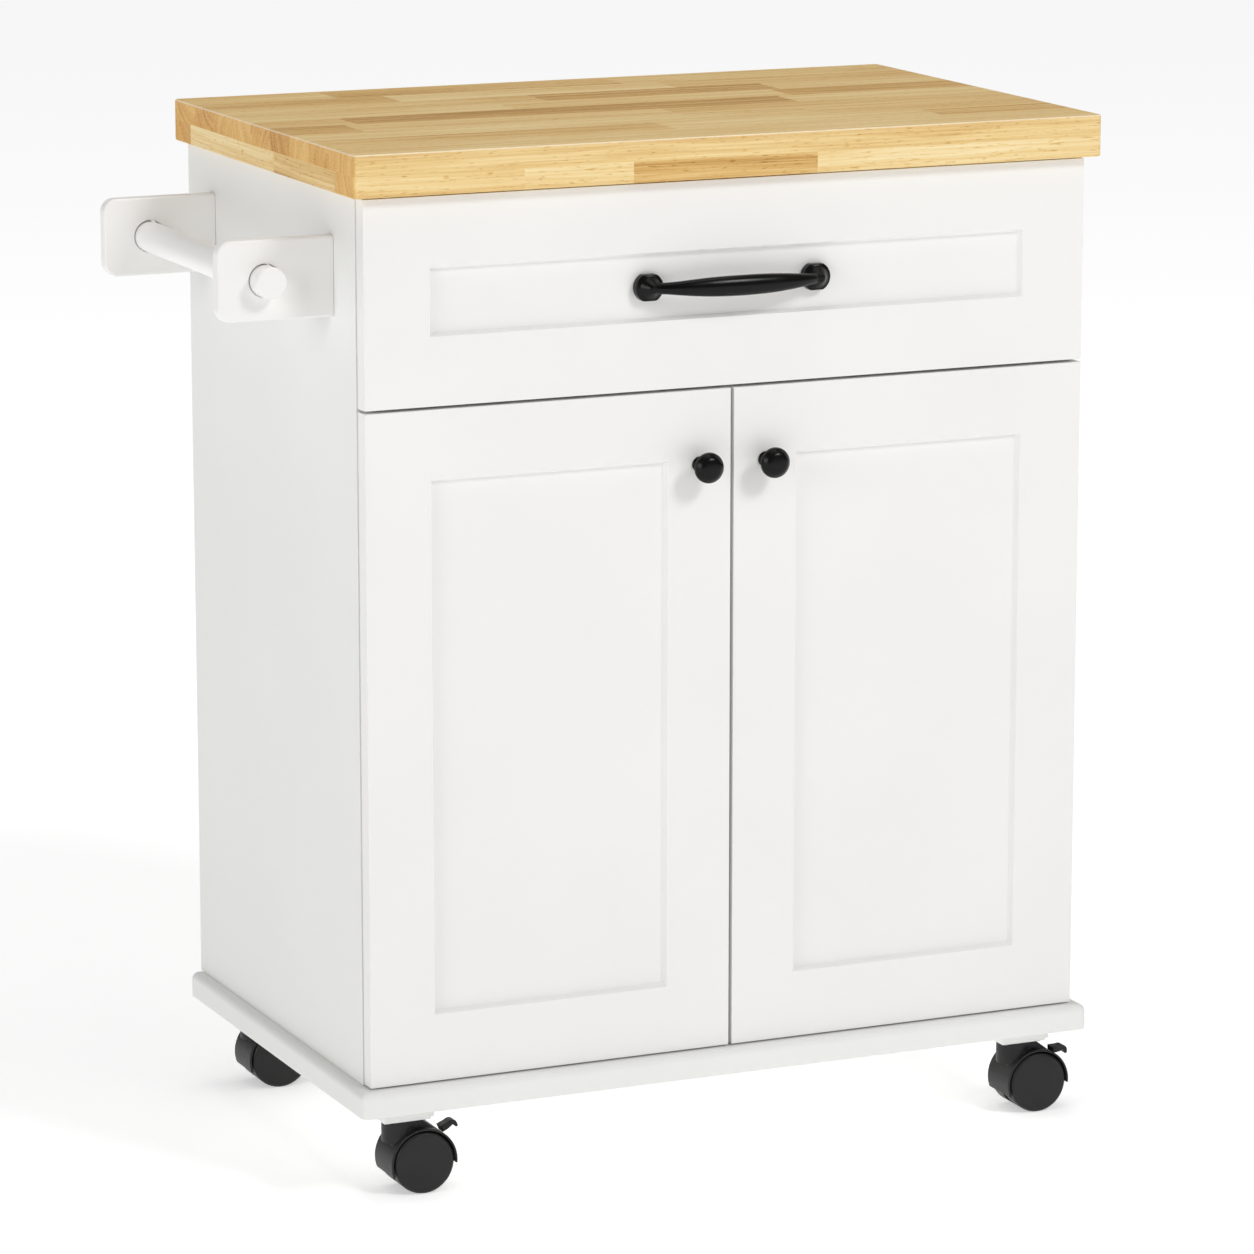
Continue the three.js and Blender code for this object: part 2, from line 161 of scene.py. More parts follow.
def lofted(name, loops):
    """Closed loops of points, one after another, skinned with quads; the two end loops are filled."""
    loops = np.asarray(loops, float)
    rows, columns = loops.shape[:2]
    faces = grid_faces(rows, columns)
    faces += [list(range(columns)), list(range((rows - 1) * columns, rows * columns))]
    return closed_mesh(name, loops.reshape(-1, 3), faces)


# %% [markdown]
# ## Outlines and sweeps
# A piece starts as a drawing in the flat: corners with a radius each, as on a workshop drawing. The drawing
# is then carried straight along an axis, as a board or a cut sheet is, or spun round one, as on a lathe.

# %% Outlines and sweeps
def rounded(corners, steps=5, closed=True):
    """A 2-D outline from (x, y, radius) corners. Each corner becomes the arc that touches both its sides."""
    outline = []
    count = len(corners)
    for i, (x, y, radius) in enumerate(corners):
        here = np.array([x, y], float)
        if radius == 0 or (not closed and i in (0, count - 1)):
            outline.append(here[None])
            continue
        back = np.array(corners[i - 1][:2]) - here
        ahead = np.array(corners[(i + 1) % count][:2]) - here
        back, ahead = back / np.linalg.norm(back), ahead / np.linalg.norm(ahead)
        half_angle = math.acos(np.clip(back @ ahead, -1, 1)) / 2
        bisector = (back + ahead) / np.linalg.norm(back + ahead)
        centre = here + bisector * radius / math.sin(half_angle)
        touch = radius / math.tan(half_angle)
        start, end = here + back * touch - centre, here + ahead * touch - centre
        from_angle = math.atan2(start[1], start[0])
        turn = (math.atan2(end[1], end[0]) - from_angle + math.pi) % (2 * math.pi) - math.pi
        angles = from_angle + turn * np.linspace(0, 1, steps + 1)
        outline.append(centre + radius * np.stack([np.cos(angles), np.sin(angles)], axis=1))
    return np.concatenate(outline)


def inset(outline, distance):
    """The outline moved inwards: each point goes along the mean normal of its two sides, mitred."""
    sides = np.roll(outline, -1, axis=0) - outline
    sides /= np.linalg.norm(sides, axis=1, keepdims=True)
    normals = np.stack([-sides[:, 1], sides[:, 0]], axis=1)
    area = np.sum(outline[:, 0] * np.roll(outline[:, 1], -1) - np.roll(outline[:, 0], -1) * outline[:, 1])
    mean = (normals + np.roll(normals, 1, axis=0)) * (1 if area > 0 else -1)
    mean /= np.sum(mean * mean, axis=1, keepdims=True) / 2
    return outline + mean * distance


AXES = {"x": [1, 2, 0], "y": [0, 2, 1], "z": [0, 1, 2]}


def eased_plate(name, outline, low, high, axis="z", ease_low=0.6, ease_high=0.6, steps=3):
    """An outline carried along an axis from low to high. At each end it draws in along a quarter circle."""
    quarter = np.linspace(0, math.pi / 2, steps + 1)
    stations = [(low + ease_low - ease_low * math.cos(a), ease_low * (1 - math.sin(a))) for a in quarter]
    stations += [(high - ease_high + ease_high * math.sin(a), ease_high * (1 - math.cos(a))) for a in quarter]
    if ease_low == 0:
        stations = stations[steps:]
    if ease_high == 0:
        stations = stations[:-steps]
    loops = [np.column_stack([inset(outline, d), np.full(len(outline), h)]) for h, d in stations]
    return lofted(name, np.array(loops)[..., np.argsort(AXES[axis])])


def turned(name, profile, centre, axis="z", way=1, segments=64):
    """A lathe shape: profile points (radius, distance along the axis) spun round a line through centre."""
    profile = np.asarray(profile, float)
    angle = np.linspace(0, 2 * math.pi, segments, endpoint=False)
    loops = np.stack([
        profile[:, :1] * np.cos(angle),
        profile[:, :1] * np.sin(angle),
        np.repeat(profile[:, 1:] * way, segments, axis=1),
    ], axis=-1)
    return lofted(name, loops[..., np.argsort(AXES[axis])] + np.asarray(centre, float))


def curve_through(points, per_span=8):
    """A smooth Catmull-Rom curve through rows of numbers: each span is the cubic that four neighbours set."""
    points = np.asarray(points, float)
    padded = np.concatenate([2 * points[:1] - points[1:2], points, 2 * points[-1:] - points[-2:-1]])
    a, b, c, d = (padded[i:len(padded) - 3 + i, None] for i in range(4))
    t = np.linspace(0, 1, per_span, endpoint=False)[None, :, None]
    spans = 0.5 * (2 * b + (c - a) * t + (2 * a - 5 * b + 4 * c - d) * t**2 + (3 * b - a - 3 * c + d) * t**3)
    return np.concatenate([spans.reshape(-1, points.shape[1]), points[-1:]])


def directions(path):
    """Unit vectors along a plane path, and the same a quarter turn to the left of it."""
    ahead = np.gradient(path, axis=0)
    ahead /= np.linalg.norm(ahead, axis=1, keepdims=True)
    return ahead, np.stack([-ahead[:, 1], ahead[:, 0]], axis=1)


def rectangle(x0, y0, x1, y1, radius):
    """Corners of a rectangle whose four corners are rounded alike."""
    return rounded([(x0, y0, radius), (x1, y0, radius), (x1, y1, radius), (x0, y1, radius)])


# %% [markdown]
# ## Joining and finishing
# Pieces that are one casting or one moulding on the real cart are joined into one surface. A Boolean
# modifier does that, and a fine remesh with a little smoothing then softens the inside corners, as a mould
# does. Every finished piece gets its body and the material kept under its slot's name in one place.

# %% Joining and finishing helpers
materials = {}


def apply_modifiers(piece):
    """Replaces the mesh with what its modifiers make of it."""
    evaluated = piece.evaluated_get(bpy.context.evaluated_depsgraph_get())
    result = bpy.data.meshes.new_from_object(evaluated)
    piece.modifiers.clear()
    piece.data = result
    return piece


def combine(piece, others, operation):
    """Joins other closed pieces to this one (UNION) or cuts them out of it (DIFFERENCE)."""
    for other in others:
        tool = piece.modifiers.new("combine", "BOOLEAN")
        tool.operation = operation
        tool.solver = "MANIFOLD"
        tool.object = other
        apply_modifiers(piece)
        bpy.data.objects.remove(other)
    return piece


def moulded(piece, voxel, smoothing):
    """Rebuilds the surface on a fine grid of that many millimetres and smooths it, as a mould's corners are."""
    remesh = piece.modifiers.new("remesh", "REMESH")
    remesh.mode = "VOXEL"
    remesh.voxel_size = voxel * MM
    smooth = piece.modifiers.new("smooth", "SMOOTH")
    smooth.factor = 0.5
    smooth.iterations = smoothing
    return apply_modifiers(piece)


def merged(name, parts):
    """Several separate solids as one piece, such as a set of screws."""
    work = bmesh.new()
    for part in parts:
        work.from_mesh(part.data)
        bpy.data.objects.remove(part)
    mesh = bpy.data.meshes.new(name)
    work.to_mesh(mesh)
    work.free()
    return new_piece(name, mesh)


def finished(piece, slot, body, *nodes, sharp=35):
    """Shades a piece smooth up to a sharp angle in degrees, gives it the material kept under a slot's name,
    puts it on its body and hides the design nodes it stands for. Normals are weighted by face area, so a wide
    flat face stays flat right up to its rounded edge."""
    mesh = piece.data
    mesh.polygons.foreach_set("use_smooth", np.ones(len(mesh.polygons), bool))
    mesh.set_sharp_from_angle(angle=math.radians(sharp))
    weighted = piece.modifiers.new("weighted", "WEIGHTED_NORMAL")
    weighted.keep_sharp = True
    mesh = apply_modifiers(piece).data
    mesh.materials.clear()
    mesh.materials.append(materials[slot])
    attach(piece, body)
    if nodes:
        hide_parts(*nodes)
    print(f"{piece.name}: {len(mesh.polygons)} faces, on {body}")
    return piece


def standing_for(piece, slot, node, **options):
    """Finishes a piece that shows in place of one design node and rides where that node rides."""
    return finished(piece, slot, body_of_node[node], node, **options)


# %% [markdown]
# ## Materials
# Colours are written as the hex values a paint maker would use and turned to linear light by one function.
# One function adds a node: its settings, and for each socket a value or the output that feeds it. Every
# pattern is worked out from the point's place on the cart in millimetres, so its scale is a real size.

# %% Material helpers
def colour(hex_code):
    """A linear colour from an sRGB hex code."""
    parts = np.array([int(hex_code[i:i + 2], 16) for i in (1, 3, 5)]) / 255
    linear = np.where(parts <= 0.04045, parts / 12.92, ((parts + 0.055) / 1.055) ** 2.4)
    return (*linear.tolist(), 1.0)


def add(tree, kind, inputs=None, stops=(), **settings):
    """Adds one shader node and gives back its outputs. inputs names sockets, by name or number, each with a
    value or another node's output; stops are a colour ramp's (position, hex code) pairs."""
    node = tree.nodes.new("ShaderNode" + kind)
    for name, value in settings.items():
        setattr(node, name, value)
    for name, value in (inputs or {}).items():
        if isinstance(value, bpy.types.NodeSocket):
            tree.links.new(value, node.inputs[name])
        else:
            node.inputs[name].default_value = value
    if stops:
        elements = node.color_ramp.elements
        for _ in stops[2:]:
            elements.new(0.5)
        for element, (position, code) in zip(elements, stops):
            element.position = position
            element.color = colour(code)
    return node.outputs


def new_material(name):
    """An empty material, its node tree, and for each point its place in millimetres and its normal."""
    material = bpy.data.materials.new(name)
    material.use_nodes = True
    tree = material.node_tree
    tree.nodes.clear()
    where = add(tree, "TexCoord")
    place = add(tree, "VectorMath", {0: where["Object"], "Scale": 1 / MM}, operation="SCALE")[0]
    return material, tree, place, where["Normal"]


def surfaced(material, sockets):
    """Ends a material with a Principled shader that has these sockets set or linked."""
    tree = material.node_tree
    surface = add(tree, "BsdfPrincipled", sockets)
    add(tree, "OutputMaterial", {0: surface[0]})
    print("material:", material.name, "with", len(tree.nodes), "nodes")
    return material


# %% [markdown]
# ### Rubberwood
# The worktop is plantation rubberwood under a clear satin lacquer: honey coloured, with faint darker bands
# where a stave cuts the growth rings, long fibre streaks and short open pores. A flat picture of wood would
# smear over the edges, so the pattern here is solid, as wood is. Growth rings are cylinders round each
# stave's own heart, so a stave's top shows long bands and its end shows arcs. Three numbers stored on each
# face say which stave it belongs to: where that stave was in the tree, whether it runs across, and how dark
# it is. End grain drinks more lacquer and turns darker. A pale painted highlight runs along the rounded top
# edges, in place of the line of light that a lit arris catches.

# %% Rubberwood's sizes and tints
RING_WIDTH = 7.0
# Real fibres are about 0.3 mm wide, and pores 0.2 mm wide and 3 mm long. Both are too fine to show, so they
# are drawn several times as coarse.
FIBRE_LENGTH, FIBRE_WIDTH = 110.0, 1.3
PORE_LENGTH, PORE_WIDTH = 9.0, 1.1
PATCH_LENGTH, PATCH_WIDTH = 240.0, 30.0
# The rings wander by half of WANDER to each side, slowly along the stave.
WANDER_LENGTH, WANDER_WIDTH, WANDER = 300.0, 60.0, 16.0
# How far each pattern moves the colour along the ramp of tints, which runs from 0 to 1.
BANDS, FIBRES, PATCHES, TONES, PORES = 0.6, 0.5, 0.3, 0.2, 0.22
RAMP_START = -0.02
WOOD_TINTS = [(0.10, "#FDF4D1"), (0.36, "#F8E5B6"), (0.58, "#ECCE91"), (0.80, "#D7AD6A"), (1.0, "#AA7C40")]
END_GRAIN_TINT = "#F5E2C0"
# A painted highlight: at the middle of its round, the rounded top edge turns this far towards this pale tint,
# in place of the light it would catch.
ARRIS_HIGHLIGHT_TINT = "#FFF6E0"
ARRIS_HIGHLIGHT_STRENGTH = 0.65
WOOD_RELIEF = 0.05


# %% Rubberwood
def rubberwood():
    """Bands + fibres + patches + tone + pores, in stave coordinates (along, across, up) in millimetres. The
    painted highlight on the arris is 4 n (1 - n), n being the upward part of the normal: nothing on flat faces,
    most halfway round."""
    material, tree, place, normal = new_material("rubberwood_clear_satin_lacquer")
    stave_place = add(tree, "Attribute", attribute_name="stave_place")["Vector"]
    turned_stave = add(tree, "Attribute", attribute_name="stave_turned")["Fac"]
    tone = add(tree, "Attribute", attribute_name="stave_tone")["Fac"]
    xyz = add(tree, "SeparateXYZ", {0: place})
    along = add(tree, "Mix", {0: turned_stave, 2: xyz[0], 3: xyz[1]})[0]
    across = add(tree, "Mix", {0: turned_stave, 2: xyz[1], 3: xyz[0]})[0]
    stave = add(tree, "CombineXYZ", {0: along, 1: across, 2: xyz[2]})[0]
    stave = add(tree, "VectorMath", {0: stave, 1: stave_place}, operation="ADD")[0]

    def stretched(length, width, detail, roughness=0.55):
        """Noise whose blobs are length millimetres long and width millimetres across."""
        scaled = add(tree, "VectorMath", {0: stave, 1: (1 / length, 1 / width, 1 / width)},
                     operation="MULTIPLY")[0]
        return add(tree, "TexNoise", {"Vector": scaled, "Scale": 1.0, "Detail": detail, "Roughness": roughness})

    wander = add(tree, "VectorMath", {
        0: stretched(WANDER_LENGTH, WANDER_WIDTH, 2)[1],
        1: (0, WANDER, WANDER), 2: (0, -WANDER / 2, -WANDER / 2)}, operation="MULTIPLY_ADD")[0]
    bent = add(tree, "VectorMath", {0: stave, 1: (0, 1, 1), 2: wander}, operation="MULTIPLY_ADD")[0]
    radius = add(tree, "VectorMath", {0: bent}, operation="LENGTH")["Value"]
    rings = add(tree, "Math", {0: radius, 1: RING_WIDTH}, operation="DIVIDE")[0]
    bands = add(tree, "TexNoise", {"W": rings, "Scale": 1.0, "Detail": 3.0, "Roughness": 0.6},
                noise_dimensions="1D")[0]
    fibres = stretched(FIBRE_LENGTH, FIBRE_WIDTH, 4, 0.6)[0]
    pores = stretched(PORE_LENGTH, PORE_WIDTH, 1, 0.4)[0]
    pores = add(tree, "MapRange", {0: pores, 1: 0.62, 2: 0.74})[0]
    patches = stretched(PATCH_LENGTH, PATCH_WIDTH, 2)[0]

    depth = RAMP_START
    layers = ((bands, BANDS), (fibres, FIBRES), (patches, PATCHES), (tone, TONES), (pores, PORES))
    for pattern, weight in layers:
        depth = add(tree, "Math", {0: pattern, 1: weight, 2: depth}, operation="MULTIPLY_ADD")[0]
    wood = add(tree, "ValToRGB", {0: depth}, WOOD_TINTS)[0]

    facing = add(tree, "SeparateXYZ", {0: normal})
    end = add(tree, "Mix", {0: turned_stave, 2: facing[0], 3: facing[1]})[0]
    end = add(tree, "Math", {0: end}, operation="ABSOLUTE")[0]
    end = add(tree, "MapRange", {0: end, 1: 0.5, 2: 0.95})[0]
    wood = add(tree, "Mix", {0: end, 6: wood, 7: colour(END_GRAIN_TINT)}, data_type="RGBA",
               blend_type="MULTIPLY")[2]
    # Painted highlight: upward rounded edges are mixed towards the pale tint, most halfway round, standing in
    # for the light an arris catches.
    level = add(tree, "Math", {0: 1.0, 1: facing[2]}, operation="SUBTRACT")[0]
    arris = add(tree, "Math", {0: facing[2], 1: level}, operation="MULTIPLY")[0]
    arris = add(tree, "Math", {0: arris, 1: 4 * ARRIS_HIGHLIGHT_STRENGTH}, operation="MULTIPLY", use_clamp=True)[0]
    wood = add(tree, "Mix", {0: arris, 6: wood, 7: colour(ARRIS_HIGHLIGHT_TINT)}, data_type="RGBA")[2]

    shine = add(tree, "MapRange", {0: fibres, 1: 0.3, 2: 0.7, 3: 0.4, 4: 0.52})[0]
    shine = add(tree, "Math", {0: pores, 1: 0.2, 2: shine}, operation="MULTIPLY_ADD")[0]
    height = add(tree, "Math", {0: pores, 1: -0.8, 2: fibres}, operation="MULTIPLY_ADD")[0]
    bump = add(tree, "Bump", {"Height": height, "Distance": WOOD_RELIEF * MM, "Strength": 1.0})
    return surfaced(material, {"Base Color": wood, "Roughness": shine, "Normal": bump[0],
                               "IOR": 1.5, "Specular IOR Level": 0.16})


materials["rubberwood"] = rubberwood()


# %% [markdown]
# ### Painted, moulded and plated finishes
# Most of the other finishes differ only in numbers. A broad, faint cloud keeps the colour from being dead
# flat, and a fine texture breaks the highlight up. So one function makes them all from two noises, and each
# finish gives its own colours, sizes and gloss. Zinc has crystals instead, so it has its own function.

# %% Two-noise coat
def coat(name, broad, tints, fine, relief, shine, shine_follows, ior, specular):
    """A finish from two noises, each given as (width in millimetres, detail). The broad one runs the colour
    between two tints; the fine one raises the surface by relief millimetres. shine is the roughness at the
    low and the high end of the noise, "broad" or "fine", that it follows."""
    material, tree, place, _ = new_material(name)
    noise = {word: add(tree, "TexNoise", {"Vector": place, "Scale": 1 / width, "Detail": detail})[0]
             for word, (width, detail) in (("broad", broad), ("fine", fine))}
    paint = add(tree, "ValToRGB", {0: noise["broad"]}, [(0.3, tints[0]), (0.7, tints[1])])
    gloss = add(tree, "MapRange", {0: noise[shine_follows], 1: 0.3, 2: 0.7, 3: shine[0], 4: shine[1]})
    bump = add(tree, "Bump", {"Height": noise["fine"], "Distance": relief * MM, "Strength": 1.0})
    return surfaced(material, {"Base Color": paint[0], "Roughness": gloss[0], "Normal": bump[0],
                               "IOR": ior, "Specular IOR Level": specular})


# %% [markdown]
# ### White fronts, white boards and white enamel
# The drawer front and doors are MDF sprayed with satin lacquer. Spray leaves a very low ripple, which makes
# the highlight waver. The boxes behind are particle board wrapped in a matt foil with a fine embossed
# texture, which spreads it. The caster plates are pressed steel under glossy stove enamel, which flows a
# little before it sets. All three are nearly white, so roughness and ripple do most of the work.

# %% Whites
SPRAY_RIPPLE = 3.0  # about twice the real width, or it would be too fine to show
FOIL_TEXTURE = 0.9  # about three times the real width, for the same reason
ENAMEL_FLOW = 4.0
materials["white_lacquer"] = coat(
    "satin_lacquer_on_mdf", broad=(160, 3), tints=("#EFEEEC", "#F2F1EF"), fine=(SPRAY_RIPPLE, 2), relief=0.012,
    shine=(0.36, 0.44), shine_follows="broad", ior=1.49, specular=0.45)
materials["white_board"] = coat(
    "matt_foil_on_board", broad=(200, 3), tints=("#ECECE9", "#EFEFED"), fine=(FOIL_TEXTURE, 3), relief=0.015,
    shine=(0.46, 0.56), shine_follows="fine", ior=1.5, specular=0.4)
materials["white_enamel"] = coat(
    "white_stove_enamel", broad=(ENAMEL_FLOW, 2), tints=("#E9E9E7", "#EEEEEC"), fine=(ENAMEL_FLOW, 2),
    relief=0.02, shine=(0.3, 0.42), shine_follows="broad", ior=1.52, specular=0.5)


# %% [markdown]
# ### Black coat, black nylon and bright zinc
# The pull and knobs are die-cast zinc with a satin black powder coat, which gives a broad soft highlight.
# The casters are moulded nylon, a little greyer and rougher, because the mould was spark eroded. Slides,
# hinges and screws are steel with bright zinc plating, whose crystals give a faint mottle.

# %% Blacks and zinc
COAT_TEXTURE = 1.0  # orange peel, about twice the real width so that it shows
MOULD_TEXTURE = 0.8  # spark-eroded grain, about four times the real width so that it shows
ZINC_GRAIN = 5.0
materials["black_metal"] = coat(
    "satin_black_powder_coat", broad=(12, 3), tints=("#020202", "#050505"), fine=(COAT_TEXTURE, 2),
    relief=0.003, shine=(0.22, 0.28), shine_follows="broad", ior=1.5, specular=0.2)
materials["black_plastic"] = coat(
    "moulded_black_nylon", broad=(22, 3), tints=("#1B1B1B", "#202020"), fine=(MOULD_TEXTURE, 3), relief=0.02,
    shine=(0.36, 0.46), shine_follows="fine", ior=1.53, specular=0.28)


def bright_zinc():
    """Plated steel: metallic, with a mottle of crystals a few millimetres wide."""
    material, tree, place, _ = new_material("bright_zinc_plate")
    crystals = add(tree, "TexVoronoi", {"Vector": place, "Scale": 1 / ZINC_GRAIN})["Color"]
    crystals = add(tree, "RGBToBW", {0: crystals})[0]
    metal = add(tree, "ValToRGB", {0: crystals}, [(0.0, "#C3C6CA"), (1.0, "#D5D7DA")])
    gloss = add(tree, "MapRange", {0: crystals, 3: 0.26, 4: 0.38})
    bump = add(tree, "Bump", {"Height": crystals, "Distance": 0.004 * MM, "Strength": 1.0})
    return surfaced(material, {"Base Color": metal[0], "Roughness": gloss[0], "Normal": bump[0],
                               "Metallic": 1.0})


materials["zinc_steel"] = bright_zinc()


# %% [markdown]
# ## The worktop
# The block is glued from staves. The upper layer is a full board of nine rows; each row is made of shorter
# staves laid end to end. A frame of strips underneath doubles the thickness that shows at the edges. Each
# board could be many small boxes, but then every joint would be a gap; here it is one box cut into a grid
# along its glue lines, so every face knows its stave. Two bevels follow: one rounds the upright corners, the
# second softens the long edges.

# %% Glued boards
CORNER_ROUND = 4.0
EDGE_ROUND = 1.3
HEART_SPANS = ((0, 4000), (20, 85), (-45, 45))  # how far a stave lay along, beside and above its tree's heart
draw = np.random.default_rng(11)


def softened(piece, chosen, width, segments):
    """Rounds the edges that chosen(middle, direction, angle) picks; middle is in millimetres."""
    work = bmesh.new()
    work.from_mesh(piece.data)
    picked = [edge for edge in work.edges if chosen(
        (edge.verts[0].co + edge.verts[1].co) / 2 / MM,
        (edge.verts[1].co - edge.verts[0].co).normalized(),
        edge.calc_face_angle(0))]
    bmesh.ops.bevel(work, geom=picked, offset=width * MM, offset_type="OFFSET", segments=segments,
                    profile=0.5, affect="EDGES", clamp_overlap=True)
    work.to_mesh(piece.data)
    work.free()
    return piece


def glued_board(name, node, rows, runs_back=False, round_sides=(0, 1), soft_level=1):
    """A box on a grid of glue lines. rows lists (row width, stave ends, stave tones), counted from the front,
    or from the left where the staves run back. Stave ends are measured from the cart's middle, or from its
    front plane. round_sides are the Y sides whose upright corners are rounded; soft_level is the level,
    0 low or 1 high, whose edges are softened."""
    low, high = reach(node)
    run, side = (1, 0) if runs_back else (0, 1)
    widths = np.array([row[0] for row in rows], float)
    side_lines = low[side] + np.concatenate([[0], np.cumsum(widths) / widths.sum()]) * (high[side] - low[side])
    origin = front_plane if runs_back else cart_middle
    ends = sorted({c + origin for row in rows for c in row[1]})
    run_lines = np.array([low[run], *ends, high[run]])
    lines_x, lines_y = (side_lines, run_lines) if runs_back else (run_lines, side_lines)
    nx, ny = len(lines_x), len(lines_y)
    grid = np.stack(np.meshgrid(lines_x, lines_y, [low[2], high[2]], indexing="ij"), axis=-1)
    index = np.arange(nx * ny * 2).reshape(nx, ny, 2)
    sheets = [index[:, :, 0], index[:, :, 1], index[:, 0, :], index[:, -1, :], index[0], index[-1]]
    faces = np.concatenate([
        np.stack([g[:-1, :-1], g[1:, :-1], g[1:, 1:], g[:-1, 1:]], axis=-1).reshape(-1, 4) for g in sheets])
    centres = grid.reshape(-1, 3)[faces].mean(axis=1)
    row_of_face = np.clip(np.searchsorted(side_lines, centres[:, side]) - 1, 0, len(rows) - 1)

    place = np.zeros((len(faces), 3))
    tone = np.zeros(len(faces))
    for row, (_, row_ends, row_tones) in enumerate(rows):
        heart = np.stack([draw.uniform(*span, len(row_tones)) for span in HEART_SPANS], axis=1)
        mine = row_of_face == row
        stave = np.searchsorted(np.array(row_ends, float) + origin, centres[mine, run])
        stave_middle = [0, (side_lines[row] + side_lines[row + 1]) / 2, (low[2] + high[2]) / 2]
        place[mine] = heart[stave] - stave_middle
        tone[mine] = np.array(row_tones, float)[stave]

    mesh = bpy.data.meshes.new(name)
    mesh.from_pydata((grid.reshape(-1, 3) * MM).tolist(), [], faces.tolist())
    mesh.attributes.new("stave_place", "FLOAT_VECTOR", "FACE").data.foreach_set("vector", place.ravel())
    for attribute, values in (("stave_tone", tone), ("stave_turned", np.full(len(faces), float(runs_back)))):
        mesh.attributes.new(attribute, "FLOAT", "FACE").data.foreach_set("value", values)
    piece = new_piece(name, facing_out(mesh))
    round_lines = [(low[1], high[1])[i] for i in round_sides]
    if round_lines:
        softened(piece, lambda spot, way, angle: abs(way.z) > 0.9 and angle > 1.5
                 and min(abs(spot.y - line) for line in round_lines) < 0.1, CORNER_ROUND, 6)
    level = (low[2], high[2])[soft_level]
    softened(piece, lambda spot, way, angle: abs(spot.z - level) < 0.01 and angle > 1.2, EDGE_ROUND, 3)
    return standing_for(piece, "rubberwood", node, sharp=50)


# %% Worktop
cart_middle = (reach("left_side_panel")[0][0] + reach("right_side_panel")[1][0]) / 2
glued_board("worktop_board", "butcher_top_slab", [
    (52, [], [-0.3]),
    (43.7, [-30, 205], [0.1, -0.5, 0.3]),
    (43.7, [120], [-0.4, -0.1]),
    (43.7, [-262, 15], [0.5, -0.3, 0.0]),
    (43.7, [-250, 140], [0.0, 0.9, -0.4]),
    (43.7, [-95, 155], [-0.4, -0.2, 0.6]),
    (43.7, [-48, 165], [-0.1, 0.7, -0.3]),
    (43.7, [-160, 90], [0.2, -0.4, 0.2]),
    (52, [-200, 60], [-0.1, 0.3, -0.2]),
])
for side, staves, options in (
        ("front", ([-183, -90.5, 69], [-0.2, -0.8, 0.35, -0.6]), {"round_sides": (0,)}),
        ("back", ([-140, 110], [0.1, 0.4, -0.3]), {"round_sides": (1,)}),
        ("left", ([165], [0.1, -0.5]), {"round_sides": (), "runs_back": True}),
        ("right", ([210], [-0.2, 0.2]), {"round_sides": (), "runs_back": True})):
    glued_board(f"edge_strip_{side}", f"top_strip_{side}", [(40, *staves)], soft_level=0, **options)
print("worktop:", np.round(reach("butcher_top_slab")[1] - reach("butcher_top_slab")[0], 1), "mm")


# %% [markdown]
# ## Boards
# Every board is a plain plate with its arrises broken. Sharp edges never catch the light, and on white
# furniture the thin bright line along an arris is most of what shows where one board stops. The base board
# has a bold quarter round on its upper edge.

# %% Boards
EDGE_BAND = 0.5
BASE_CORNER = 6.0
BASE_QUARTER_ROUND = 6.0
BLOCK_CORNER = 4.0
BLOCK_TOP = 0.4
UNDERSIDE_EASE = 0.8


def plain_board(node):
    """A plate the size of a design node, all its edges rounded alike."""
    low, high = reach(node)
    thin = int(np.argmin(high - low))
    a, b = [i for i in range(3) if i != thin]
    outline = rectangle(low[a], low[b], high[a], high[b], EDGE_BAND)
    plate = eased_plate(node + "_edged", outline, low[thin], high[thin], "xyz"[thin], EDGE_BAND, EDGE_BAND)
    standing_for(plate, "white_board", node)


for node in ["left_side_panel", "right_side_panel", "back_panel", "middle_shelf", "top_front_rail",
             "top_back_rail", "drawer_divider_rail", "drawer_side_left", "drawer_side_right",
             "drawer_back", "drawer_bottom"]:
    plain_board(node)

low, high = reach("base_board")
base = eased_plate("base_board_quarter_round", rectangle(*low[:2], *high[:2], BASE_CORNER), low[2], high[2],
                   "z", UNDERSIDE_EASE, BASE_QUARTER_ROUND, 6)
standing_for(base, "white_board", "base_board", sharp=50)
for node in [n for n in body_of_node if n.startswith("caster_block")]:
    low, high = reach(node)
    block = eased_plate(node + "_eased", rectangle(*low[:2], *high[:2], BLOCK_CORNER), low[2], high[2],
                        "z", UNDERSIDE_EASE, BLOCK_TOP)
    standing_for(block, "white_board", node)


# %% [markdown]
# ## Fronts
# A front is one thick board with a shallow panel routed into its face. It could be cut out with a Boolean,
# but that leaves knife edges. Here it is a set of nested rectangles: each is drawn in by some distance and
# set back by some depth, and neighbours are joined by mitred strips. The cutter leaves a small radius at the
# top of the wall and another at its foot. The bores for the hinge cups are plain holes, so they are cut.

# %% Fronts
FRONT_ARRIS = 0.35
WALL_ARRIS = 0.4
FRAME_WIDTH = 55.0
PANEL_DEPTH = 5.0
WALL_SLOPE = 2.4
BACK_ARRIS = 0.3
PANEL_MARGIN = 12.0  # the last rectangle lies flat on the panel, this far in from the frame
HINGE_BORE = 17.5
BORE_CLEARANCE = 0.4


